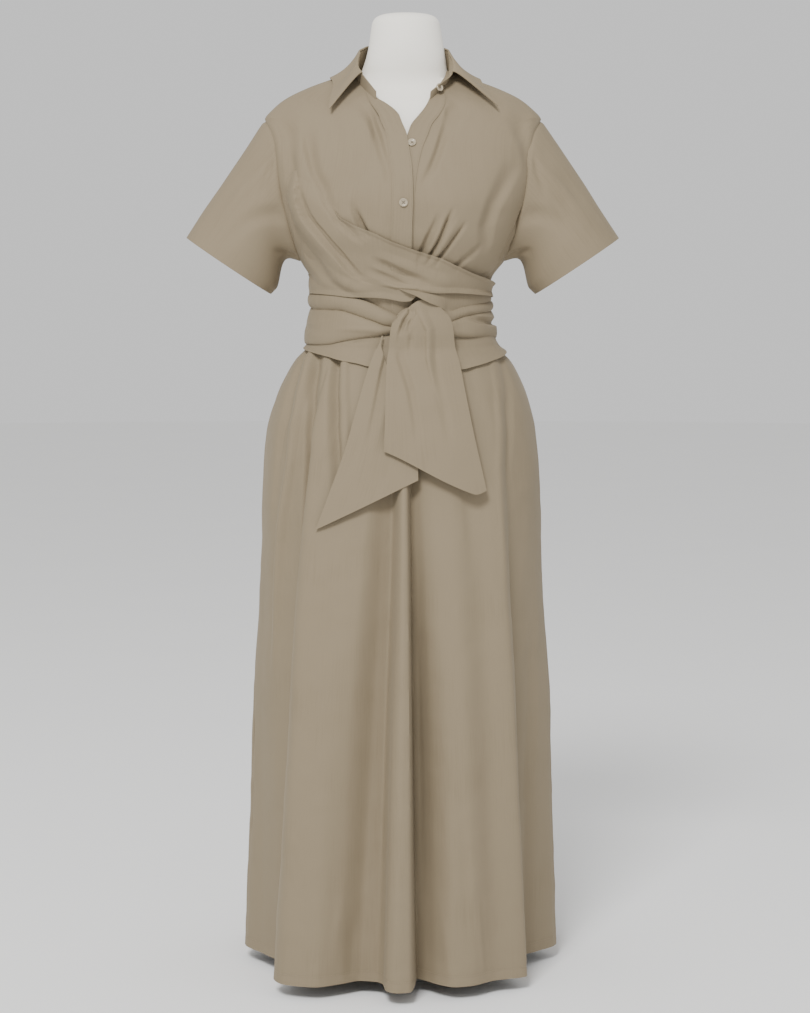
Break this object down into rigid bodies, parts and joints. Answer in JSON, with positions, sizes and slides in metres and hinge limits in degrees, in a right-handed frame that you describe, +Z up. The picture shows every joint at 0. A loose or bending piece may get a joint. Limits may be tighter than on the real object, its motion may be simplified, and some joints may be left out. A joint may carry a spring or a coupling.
{
  "type": "faux wrap shirt dress on a dress form",
  "caption": "Short-sleeved taupe shirt dress with a wrapped waist and tied sash, hanging on a cream dress form with a round steel base.",
  "frame": {"origin": "middle of the underside of the round base", "axes": "+Z up along the pole and the dress's length, -Y the way the dress faces, +X towards the wearer's left"},
  "size_m": [0.6058, 0.4427, 1.345],
  "materials": {
    "poplin": "matte",
    "form_cover": "matte",
    "steel": "satin",
    "button": "gloss"
  },
  "bodies": {
    "root": {"skirt_front": "poplin", "skirt_back": "poplin", "bodice_front_right": "poplin", "bodice_front_left": "poplin", "bodice_back": "poplin", "placket_right": "poplin", "placket_left": "poplin", "sleeve_right": "poplin", "sleeve_left": "poplin", "collar_stand": "poplin", "collar_leaf": "poplin", "sash_low": "poplin", "sash_left_side": "poplin", "sash_right_side": "poplin", "sash_back": "poplin", "wrap_front": "poplin", "knot": "poplin", "tail_rear": "poplin", "tail_front": "poplin", "form_torso": "form_cover", "form_pole": "steel", "form_base": "steel", "button_1": "button", "button_2": "button", "button_3": "button"}
  },
  "joints": []
}
